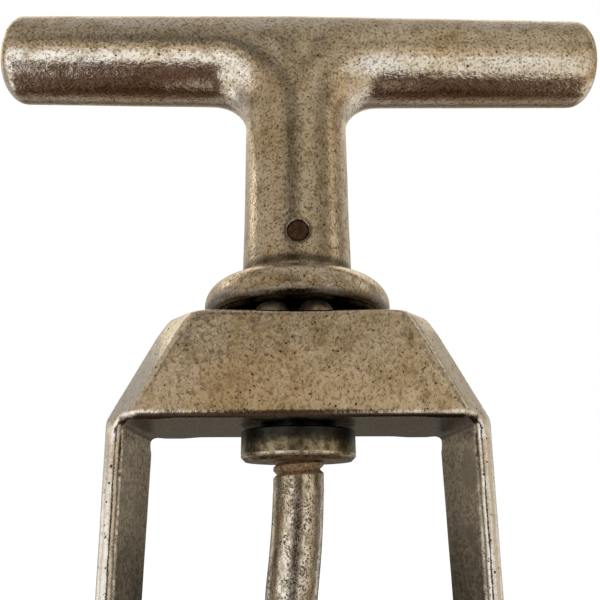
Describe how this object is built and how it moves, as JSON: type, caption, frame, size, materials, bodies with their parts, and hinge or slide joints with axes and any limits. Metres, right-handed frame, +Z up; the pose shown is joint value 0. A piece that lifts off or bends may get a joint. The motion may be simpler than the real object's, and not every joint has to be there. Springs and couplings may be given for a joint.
{
  "type": "mechanical corkscrew",
  "caption": "Frame corkscrew: a T-handle on a ball race turns a wire worm inside a two-legged cast frame with a bottle foot.",
  "frame": {"origin": "centre of the foot's bottom face, on the worm's axis", "axes": "+Z up along the spindle and worm to the handle, +X along the handle bar at rest and across the two legs, -Y out of the frame's front face"},
  "size_m": [0.075, 0.04, 0.1238],
  "materials": {
    "frame_plate": "worn nickel plate on a casting, warm and finely pitted",
    "handle_plate": "worn nickel plate on a casting, polished by hands, finely pitted",
    "pin_steel": "rust-brown peened pin end",
    "spindle_steel": "turned, plated, mottled brass-brown and blue-green",
    "worm_steel": "plated wire with dark pits and a rusty thread",
    "ball_steel": "dull brown bearing steel"
  },
  "bodies": {
    "frame_body": {"frame": "frame_plate"},
    "handle_body": {"t_handle": "handle_plate", "cross_pin": "pin_steel", "spindle": "spindle_steel", "worm": "worm_steel"},
    "ball_body": {"ball_1": "ball_steel", "ball_2": "ball_steel", "ball_3": "ball_steel", "ball_4": "ball_steel", "ball_5": "ball_steel", "ball_6": "ball_steel", "ball_7": "ball_steel", "ball_8": "ball_steel", "ball_9": "ball_steel"}
  },
  "joints": [
    {"name": "handle_turn", "type": "hinge", "parent": "frame_body", "child": "handle_body", "pos_m": [0, 0, 0.083], "axis": [0, 0, 1], "continuous": true},
    {"name": "ball_orbit", "type": "hinge", "parent": "frame_body", "child": "ball_body", "pos_m": [0, 0, 0.08267], "axis": [0, 0, 1], "continuous": true}
  ],
  "couplings": [
    {"joint": "ball_orbit", "follows": "handle_turn", "ratio": 0.5}
  ]
}
